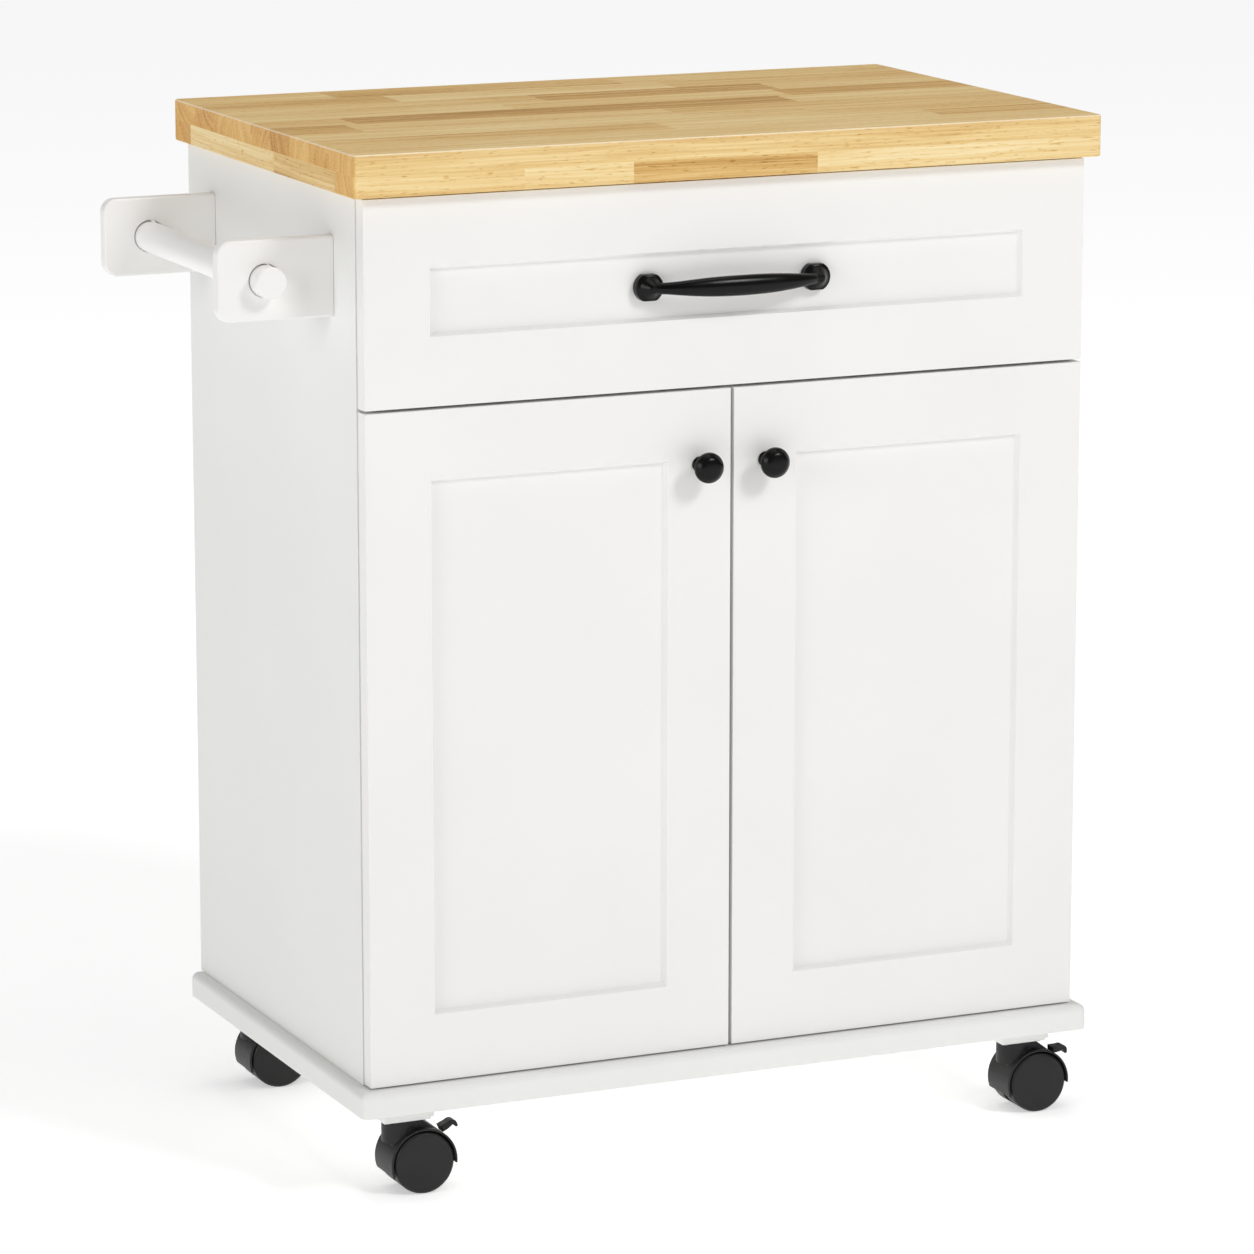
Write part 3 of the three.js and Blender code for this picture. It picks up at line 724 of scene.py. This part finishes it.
def nested_front(name, node):
    """Rectangles from the back edge round the arris, over the frame, down the wall and across the panel."""
    low, high = reach(node)
    back, face = high[1], low[1]
    section = rounded([
        (BACK_ARRIS, back, 0), (0, back - BACK_ARRIS, 0), (0, face, FRONT_ARRIS),
        (FRAME_WIDTH, face, WALL_ARRIS), (FRAME_WIDTH + WALL_SLOPE, face + PANEL_DEPTH, WALL_ARRIS),
        (FRAME_WIDTH + PANEL_MARGIN, face + PANEL_DEPTH, 0),
    ], 4, closed=False)
    d, y = section[:, 0], section[:, 1]
    loops = np.stack([
        np.stack([low[0] + d, y, low[2] + d], axis=1), np.stack([high[0] - d, y, low[2] + d], axis=1),
        np.stack([high[0] - d, y, high[2] - d], axis=1), np.stack([low[0] + d, y, high[2] - d], axis=1),
    ], axis=1)
    return lofted(name, loops)


standing_for(nested_front("drawer_front_panelled", "drawer_front"), "white_lacquer", "drawer_front", sharp=25)
for hand in ("left", "right"):
    door = nested_front(f"{hand}_door_panelled", f"{hand}_door")
    bores = []
    for level in ("lower", "upper"):
        cup_low, cup_high = reach(f"{hand}_hinge_cup_{level}")
        spot = (cup_low + cup_high) / 2
        spot[1] = cup_low[1] - BORE_CLEARANCE
        bores.append(turned("bore", [(0, 0), (HINGE_BORE, 0), (HINGE_BORE, 30), (0, 30)], spot, "y"))
    combine(door, bores, "DIFFERENCE")
    standing_for(door, "white_lacquer", f"{hand}_door", sharp=25)


# %% [markdown]
# ## The bow pull
# The pull is one die casting: two barrel feet with a flat milled on top and bottom, necks that draw in, and a
# grip that swells towards its middle and bows away from the drawer. The grip is a section carried along a
# smooth path; each row of numbers gives a place on the path and the section's two half widths there.

# %% Bow pull
handle_low, handle_high = reach("drawer_handle")
handle_middle = middle("drawer_handle")
pull_base = handle_high[1]
FOOT_SPACING = 146.0
FOOT_RADIUS = 12.0
FOOT_HALF = 10.6  # from the foot's middle to the flat above it or below it
GRIP_OUT = 26.6
GRIP_DEEP = 6.0
GRIP_SPARE = 0.1
PULL_VOXEL = 0.45


def bow_pull():
    """Grip: ellipses square to a Catmull-Rom path. Feet: lathe shapes cut flat above and below."""
    foot = FOOT_SPACING / 2
    half = np.array([
        (foot - 1, 8.0, 4.4, 4.6), (foot - 5, 13.6, 4.4, 4.6), (foot - 12, 18.0, 4.5, 4.9),
        (foot - 21, 21.2, 4.8, 5.7), (foot - 34, 23.8, 5.3, 6.9), (foot - 50, 25.6, 5.8, 7.9),
        (0, GRIP_OUT, GRIP_DEEP, 8.3)])
    half[:, 1] *= (pull_base - handle_low[1] - GRIP_DEEP - GRIP_SPARE) / GRIP_OUT
    other = half[-2::-1] * [-1, 1, 1, 1]
    x, out, deep, tall = curve_through(np.concatenate([half, other])).T
    path = np.stack([x, pull_base - out], axis=1)
    _, left = directions(path)
    angle = np.linspace(0, 2 * math.pi, 40, endpoint=False)
    plan = path[:, None] - left[:, None] * (deep[:, None] * np.cos(angle))[..., None]
    rise = handle_middle[2] + tall[:, None] * np.sin(angle)
    shift = np.array([handle_middle[0], 0, 0])
    grip = lofted("bow_pull", np.concatenate([plan, rise[..., None]], axis=-1) + shift)
    profile = rounded([(0, 0, 0), (FOOT_RADIUS, 0, 0), (FOOT_RADIUS, 7.4, 1.0), (9.2, 8.2, 1.5),
                       (5.6, 12.5, 2), (3.0, 15.5, 1.5), (0, 15.5, 0)], 5, closed=False)
    feet = []
    for side in (-1, 1):
        spot = [handle_middle[0] + side * foot, pull_base, handle_middle[2]]
        barrel = turned("foot", profile, spot, "y", -1, 48)
        for edge in (-1, 1):
            cut = eased_plate("flat", rectangle(spot[0] - 30, pull_base - 40, spot[0] + 30, pull_base + 10, 1),
                              *sorted([spot[2] + edge * FOOT_HALF, spot[2] + edge * 40]), "z", 0, 0)
            combine(barrel, [cut], "DIFFERENCE")
        feet.append(barrel)
    combine(grip, feet, "UNION")
    return moulded(grip, PULL_VOXEL, 16)


standing_for(bow_pull(), "black_metal", "drawer_handle", sharp=60)


# %% [markdown]
# ## Knobs
# A knob has a small base ring, a cove, a slim neck and a domed cap with a soft rim. It is round about its
# screw, so half its outline spun on that line gives it exactly, as a lathe would.

# %% Knobs
KNOB_PROFILE = rounded([
    (0, 0, 0), (6.4, 0, 0.3), (6.4, 1.6, 0.5), (4.6, 3.2, 1.5), (4.5, 9.5, 4), (9.5, 14.2, 3),
    (12.5, 17.5, 1.6), (12.2, 20.6, 3.5), (8.2, 25.0, 7), (0, 26, 0)], 6, closed=False)
for hand in ("left", "right"):
    node = f"{hand}_knob"
    spot = middle(node)
    spot[1] = reach(node)[1][1]
    standing_for(turned(f"{hand}_knob_turned", KNOB_PROFILE, spot, "y", -1, 72), "black_metal", node, sharp=60)


# %% [markdown]
# ## The rail on the side
# Two lacquered plates stand out from the side panel and a round rod lies loosely in a hole through each. The
# plates are softly rounded all over. A plate is made solid first, and the hole is cut with a slightly tapered
# cutter so that its rim is broken as well.

# %% Side rail
PLATE_CORNER = 11.0
PLATE_EASE = 2.2
ROD_EASE = 1.4
HOLE_CLEARANCE = 0.6
HOLE_RIM = 0.8
rod_low, rod_high = reach("towel_rod")
rod_radius = (rod_high[0] - rod_low[0]) / 2
rod_middle = middle("towel_rod")
for word in ("front", "back"):
    node = f"rack_bracket_{word}"
    low, high = reach(node)
    wall = high[0] + PLATE_EASE
    outline = rounded([(low[0], low[2], PLATE_CORNER), (wall, low[2], 0), (wall, high[2], 0),
                       (low[0], high[2], PLATE_CORNER)], 10)
    plate = eased_plate(f"rail_plate_{word}", outline, low[1], high[1], "y", PLATE_EASE, PLATE_EASE, 5)
    trim = eased_plate("trim", rectangle(high[0], low[2] - 5, high[0] + 9, high[2] + 5, 1),
                       low[1] - 5, high[1] + 5, "y", 0, 0)
    combine(plate, [trim], "DIFFERENCE")
    hole = rod_radius + HOLE_CLEARANCE
    depth = high[1] - low[1]
    wide = hole + HOLE_RIM + 1
    cutter = turned("hole", [(0, -1), (wide, -1), (hole, HOLE_RIM), (hole, depth - HOLE_RIM),
                             (wide, depth + 1), (0, depth + 1)],
                    [rod_middle[0], low[1], rod_middle[2] + HOLE_CLEARANCE / 2], "y", 1, 72)
    combine(plate, [cutter], "DIFFERENCE")
    standing_for(plate, "white_lacquer", node, sharp=40)

rod_length = rod_high[1] - rod_low[1]
rod_profile = rounded([(0, 0, 0), (rod_radius, 0, ROD_EASE), (rod_radius, rod_length, ROD_EASE),
                       (0, rod_length, 0)], 6, closed=False)
rod_spot = [rod_middle[0], rod_low[1], rod_middle[2]]
standing_for(turned("towel_rod_turned", rod_profile, rod_spot, "y", 1, 96), "white_lacquer", "towel_rod")
print("rod radius", round(float(rod_radius), 2), "mm")


# %% [markdown]
# ## Caster hoods
# A twin-wheel caster is two wheels under one nylon hood. The hood is a band bent round the wheels, a web
# between them that carries the axle, a round neck that turns on the stem, and a shoulder that slopes from
# the neck to the band. Each is simple on its own, so they are made apart and joined into one moulding.

# %% Caster hood
TRAIL = 15.0
WHEEL_RADIUS = 25.5
HOOD_OUTSIDE = 28.5
HOOD_INSIDE = 26.6
HOOD_FROM, HOOD_TO = -6.0, 201.0
WEB = 5.0
NECK_RADIUS = 14.0
LEVER_PIVOT = 21.6
HOOD_VOXEL = 0.55


def along_y(name, outline, centre, half_width, ease):
    """An (x, z) outline round a centre, carried along Y to both sides."""
    return eased_plate(name, outline + np.array([centre[0], centre[2]]), centre[1] - half_width,
                       centre[1] + half_width, "y", ease, ease)


def hood_moulding(node, has_lever):
    """Band + web + shoulder + neck as one moulding. Angles run from the +X side, upwards."""
    low, high = reach(node)
    axle = np.array([high[0] - HOOD_OUTSIDE, (low[1] + high[1]) / 2, WHEEL_RADIUS])
    half_width = (high[1] - low[1]) / 2
    neck_top = high[2] - axle[2]

    def rays(count):
        """Unit vectors evenly round the hood's arc."""
        angle = np.radians(np.linspace(HOOD_FROM, HOOD_TO, count))
        return np.stack([np.cos(angle), np.sin(angle)], axis=1)

    arc = np.concatenate([rays(60) * HOOD_OUTSIDE, rays(60)[::-1] * HOOD_INSIDE])
    band = along_y(node + "_moulding", arc, axle, half_width, 0.4)
    sector = np.concatenate([rays(40) * (HOOD_INSIDE + 0.6), [[0, -4.0]]])
    web = along_y("web", sector, axle, WEB / 2, 0.2)
    shoulder_outline = np.array([[-TRAIL, 23.5], [-TRAIL, neck_top], [NECK_RADIUS - TRAIL, neck_top],
                                 [15.5, 23.5], [8, 26.0]])
    shoulder = along_y("shoulder", shoulder_outline, axle, NECK_RADIUS - 2, 0.5)
    neck = turned("neck", [(0, 16), (NECK_RADIUS, 16), (NECK_RADIUS, neck_top), (0, neck_top)],
                  axle - [TRAIL, 0, 0], "z", 1, 48)
    combine(band, [web, shoulder, neck], "UNION")
    for side in (-1, 1):
        outer, inner = side * (half_width + 5), side * (WEB / 2 + 0.1)
        bowl = [(0, outer), (HOOD_INSIDE, outer), (HOOD_INSIDE, inner), (0, inner)]
        combine(band, [turned("bowl", bowl, axle, "y", 1, 96)], "DIFFERENCE")
    if has_lever:
        pivot = axle + [LEVER_PIVOT, 0, LEVER_PIVOT]
        outline = rounded([(-3, 6.5, 1), (-6.5, 3, 1), (3, -6.5, 1), (6.5, -3, 1)], 3)
        combine(band, [along_y("slot", outline, pivot, 6.6, 0)], "DIFFERENCE")
    return moulded(band, HOOD_VOXEL, 3)


# %% [markdown]
# ## Wheels and brake levers
# The wheels are lathe shapes: a plain tread, a rounded shoulder and a gently domed disc. The front two
# casters have a small hooked brake lever. It is a blade cut from one outline, which is easiest to draw as a
# curved centre line with a thickness at each point. The right one is pressed down.

# %% Wheel and lever
LEVER_HALF_WIDTH = 5.0
RIGHT_LEVER_PRESSED = math.radians(22)


def wheel(node, name):
    """Tread, rounded shoulder, domed disc; the hub bore stays hidden behind the web."""
    low, high = reach(node)
    outward = -1 if "wheel_front" in node else 1
    axle = (low + high) / 2
    inner_face = high[1] if outward < 0 else low[1]
    width = high[1] - low[1]
    profile = rounded([
        (0, 1.5, 0), (9, 1.5, 0.5), (11, 4, 1), (21, 4, 1), (22, 0, 0.6), (WHEEL_RADIUS, 0, 1),
        (WHEEL_RADIUS, width - 3.2, 1.5), (WHEEL_RADIUS - 1.7, width - 1.5, 1.6), (0, width, 0),
    ], 6, closed=False)
    return turned(name, profile, [axle[0], inner_face, axle[2]], "y", outward, 96)


def hooked_lever(node, pressed):
    """A blade whose centre line curls over, thinner towards a rounded tip, turned down by an angle."""
    axle = middle(node.replace("brake_lever", "wheel_front"))
    pivot = np.array([axle[0] + LEVER_PIVOT, middle(node)[1], axle[2] + LEVER_PIVOT])
    rows = np.array([[-1.2, 0.2, 2.7], [1.8, 1.6, 2.7], [4.6, 3.0, 2.4], [7.6, 4.9, 2.1], [10.0, 4.4, 1.9],
                     [11.7, 2.2, 1.3]])
    x, z, half = curve_through(rows, 6).T
    line = np.stack([x, z], axis=1)
    ahead, left = directions(line)
    side = left * half[:, None]
    tip_angle = np.linspace(math.pi / 2, -math.pi / 2, 7)[1:-1, None]
    tip = line[-1] + half[-1] * (np.cos(tip_angle) * ahead[-1] + np.sin(tip_angle) * left[-1])
    outline = np.concatenate([line + side, tip, (line - side)[::-1]])
    turn = np.array([[math.cos(pressed), -math.sin(pressed)], [math.sin(pressed), math.cos(pressed)]])
    outline = outline @ turn
    return along_y(node + "_hooked", outline, pivot, LEVER_HALF_WIDTH, 0.8)


# %% Casters
CASTERS = ("front_left", "front_right", "back_left", "back_right")
for word in CASTERS:
    has_lever = word.startswith("front")
    node = f"caster_hood_{word}"
    standing_for(hood_moulding(node, has_lever), "black_plastic", node, sharp=60)
    for face in ("front", "back"):
        node = f"wheel_{face}_{word}"
        standing_for(wheel(node, node + "_turned"), "black_plastic", node, sharp=40)
    if has_lever:
        node = f"brake_lever_{word}"
        pressed = RIGHT_LEVER_PRESSED if word.endswith("right") else 0.0
        standing_for(hooked_lever(node, pressed), "black_plastic", node, sharp=50)


# %% [markdown]
# ## Design nodes that stay
# Some pieces already have their real shape: slides, hinge cups and arms, caster plates. They keep their own
# mesh and only get the right finish. The caster plates are enamelled white like the board above them.

# %% Remaining nodes
for node, piece in frame["nodes"].items():
    if not piece.hide_render:
        slot = "white_enamel" if "caster_plate" in node else "zinc_steel"
        piece.data.materials.clear()
        piece.data.materials.append(materials[slot])
print("kept:", sorted(n for n, piece in frame["nodes"].items() if not piece.hide_render))


# %% [markdown]
# ## Screws
# Small fixings tell the eye how a cabinet goes together. Every screw is a low domed head with a cross cut
# into it; the thread is out of sight, so it is left out. All the heads on one body are merged into one
# piece, so that they move together.

# %% Screw heads
HEAD_RADIUS = 3.6
HEAD_HEIGHT = 1.3
CROSS_LENGTH = 2.0
CROSS_WIDTH = 0.45
CROSS_DEPTH = 0.7
SUNK = 0.3
screw_spots = []


def screw_head(spot, axis, way):
    """A domed disc that sits SUNK into a face at spot and points along the axis; a cross is cut in its top."""
    profile = rounded([(0, -SUNK, 0), (HEAD_RADIUS, -SUNK, 0), (HEAD_RADIUS, 0.4, 0.3),
                       (HEAD_RADIUS * 0.6, HEAD_HEIGHT - 0.15, 2), (0, HEAD_HEIGHT, 0)], 3, closed=False)
    head = turned("head", profile, spot, axis, way, 24)
    flat = AXES[axis]
    u, v = spot[flat[0]], spot[flat[1]]
    deep, top = spot[flat[2]] + way * (HEAD_HEIGHT - CROSS_DEPTH), spot[flat[2]] + way * 3
    cuts = [eased_plate("cross", rectangle(u - a, v - b, u + a, v + b, 0.2), *sorted([deep, top]), axis, 0, 0)
            for a, b in ((CROSS_LENGTH, CROSS_WIDTH), (CROSS_WIDTH, CROSS_LENGTH))]
    return combine(head, cuts, "DIFFERENCE")


def screws(name, body, spots, axis, way):
    """All the screw heads of one body that point the same way, as one piece."""
    screw_spots.extend(spots)
    heads = [screw_head(np.array(spot, float), axis, way) for spot in spots]
    finished(merged(name, heads), "zinc_steel", body, sharp=30)


# %% Screws in place
PLATE_HOLE = 15.5  # from the plate's middle to its holes, each way
PLATE_THICKNESS = 2.5
for word in CASTERS:
    node = f"caster_plate_{word}"
    low, high = reach(node)
    x, y = (low[0] + high[0]) / 2, (low[1] + high[1]) / 2
    underside = high[2] - PLATE_THICKNESS
    spots = [(x + a * PLATE_HOLE, y + b * PLATE_HOLE, underside) for a in (-1, 1) for b in (-1, 1)]
    screws(f"caster_screws_{word}", body_of_node[node], spots, "z", -1)

ARM_HOLES = (-18.0, 18.0)
ARM_WING = 2.5  # thickness of the wing that lies on the side panel
ARM_SCREW_BACK = 53.0
for hand, way in (("left", 1), ("right", -1)):
    spots = []
    for level in ("lower", "upper"):
        low, high = reach(f"{hand}_hinge_arm_{level}")
        wing = low[0] + ARM_WING if way > 0 else high[0] - ARM_WING
        spots += [(wing, front_plane + ARM_SCREW_BACK, (low[2] + high[2]) / 2 + rise) for rise in ARM_HOLES]
    screws(f"hinge_arm_screws_{hand}", body_of_node[f"{hand}_hinge_arm_lower"], spots, "x", way)
    low, high = reach(f"{hand}_knob")
    knob_screw = [(low[0] + high[0]) / 2, reach(f"{hand}_door")[1][1], (low[2] + high[2]) / 2]
    screws(f"knob_screw_{hand}", body_of_node[f"{hand}_door"], [knob_screw], "y", 1)

BACK_SCREW_INSET, BACK_SCREW_END = 9.0, 40.0
back_low, back_high = reach("back_panel")
spots = [(x, back_high[1], z) for x in (back_low[0] + BACK_SCREW_INSET, back_high[0] - BACK_SCREW_INSET)
         for z in np.linspace(back_low[2] + BACK_SCREW_END, back_high[2] - BACK_SCREW_END, 4)]
screws("back_panel_screws", body_of_node["back_panel"], spots, "y", 1)
print(len(screw_spots), "screws")


# %% [markdown]
# ## Shelf pins and door bumpers
# Shelf pins are plated pegs that stand in the side panels under the shelf. Each door meets the cabinet on
# two soft buttons, which keep its lacquer off the board. Both are round, so both are spun.

# %% Shelf pins and door bumpers
PIN_RADIUS = 2.5
PIN_REACH = 6.0
PIN_INSET = 45.0
BUMPER_RADIUS = 4.0
BUMPER_FROM_EDGE, BUMPER_FROM_END = 18.0, 9.0
BUMPER_SUNK = 0.02
BUMPER_FLAT, BUMPER_TOP = 0.6, 0.85  # parts of the gap between door and cabinet
shelf_low, shelf_high = reach("middle_shelf")
pin_profile = rounded([(0, -SUNK, 0), (PIN_RADIUS, -SUNK, 0), (PIN_RADIUS, PIN_REACH, 0.6), (0, PIN_REACH, 0)],
                      3, closed=False)
pins = []
for wall, way in ((reach("left_side_panel")[1][0], 1), (reach("right_side_panel")[0][0], -1)):
    for y in (shelf_low[1] + PIN_INSET, shelf_high[1] - PIN_INSET):
        pins.append(turned("pin", pin_profile, [wall, y, shelf_low[2] - PIN_RADIUS], "x", way, 24))
finished(merged("shelf_pins", pins), "zinc_steel", body_of_node["middle_shelf"])

for hand, way in (("left", 1), ("right", -1)):
    low, high = reach(f"{hand}_door")
    gap = reach("left_side_panel")[0][1] - high[1]
    free_edge = high[0] if way > 0 else low[0]
    profile = rounded([(0, 0, 0), (BUMPER_RADIUS, 0, 0), (BUMPER_RADIUS, gap * BUMPER_FLAT, 0.2),
                       (0, gap * BUMPER_TOP, 0)], 3, closed=False)
    spots = [(free_edge - way * BUMPER_FROM_EDGE, high[1] - BUMPER_SUNK, z)
             for z in (low[2] + BUMPER_FROM_END, high[2] - BUMPER_FROM_END)]
    buttons = [turned("button", profile, spot, "y", 1, 24) for spot in spots]
    finished(merged(f"door_bumpers_{hand}", buttons), "white_board", body_of_node[f"{hand}_door"])
    print(hand, "door gap", round(float(gap), 2), "mm")


# %% [markdown]
# ## Floor and light
# A pale floor runs back as far as the camera can see, so there is no horizon. It glows faintly, more further
# out, so it stays as pale where the lights fade. The key light comes from the front, above and to the right,
# and a broad fill from the left keeps the left side only a little darker than the fronts. A weak one overhead
# lifts the worktop. All are soft boxes, so the shadows have soft edges; the key's falls behind the cart.

# %% Floor and sky
FLOOR_SIZE = 60.0
GLOW_FROM, GLOW_TO = 600, 2400
NEAR_GLOW, FAR_GLOW = 0.43, 0.66
SKY_STRENGTH = 0.27
WHITE = (1, 1, 1, 1)
scene = bpy.context.scene
scene.view_settings.view_transform = "Standard"
scene.view_settings.look = "None"

edge = FLOOR_SIZE / 2
floor_mesh = bpy.data.meshes.new("floor")
corners = [(-edge, -edge, 0), (edge, -edge, 0), (edge, edge, 0), (-edge, edge, 0)]
floor_mesh.from_pydata(corners, [], [(0, 1, 2, 3)])
floor = new_piece("floor", floor_mesh)
floor_material, tree, place, _ = new_material("pale_floor")
spread = add(tree, "VectorMath", {0: place}, operation="LENGTH")["Value"]
glow = add(tree, "MapRange", {0: spread, 1: GLOW_FROM, 2: GLOW_TO, 3: NEAR_GLOW, 4: FAR_GLOW})
floor_mesh.materials.append(surfaced(floor_material, {
    "Base Color": colour("#F4F4F4"), "Roughness": 0.9, "Specular IOR Level": 0.1,
    "Emission Color": WHITE, "Emission Strength": glow[0]}))

world = bpy.data.worlds.new("studio")
world.use_nodes = True
world.node_tree.nodes["Background"].inputs[0].default_value = WHITE
world.node_tree.nodes["Background"].inputs[1].default_value = SKY_STRENGTH
scene.world = world


# %% Lights
def softbox(name, place, size, power):
    """A square area light at a place in metres, aimed at the cart's middle."""
    data = bpy.data.lights.new(name, "AREA")
    data.shape = "SQUARE"
    data.size = size
    data.energy = power
    light = bpy.data.objects.new(name, data)
    light.location = place
    target = Vector((design_box[0] + design_box[1]) / 2)
    light.rotation_euler = (target - light.location).to_track_quat("-Z", "Y").to_euler()
    scene.collection.objects.link(light)
    print(name, "light,", power, "W at", place)


softbox("key", (2.3, -4.3, 4.4), 1.4, 120)
softbox("fill", (-5.4, -2.2, 2.0), 2.4, 76)
softbox("overhead", (0.0, 0.2, 3.2), 2.0, 24)
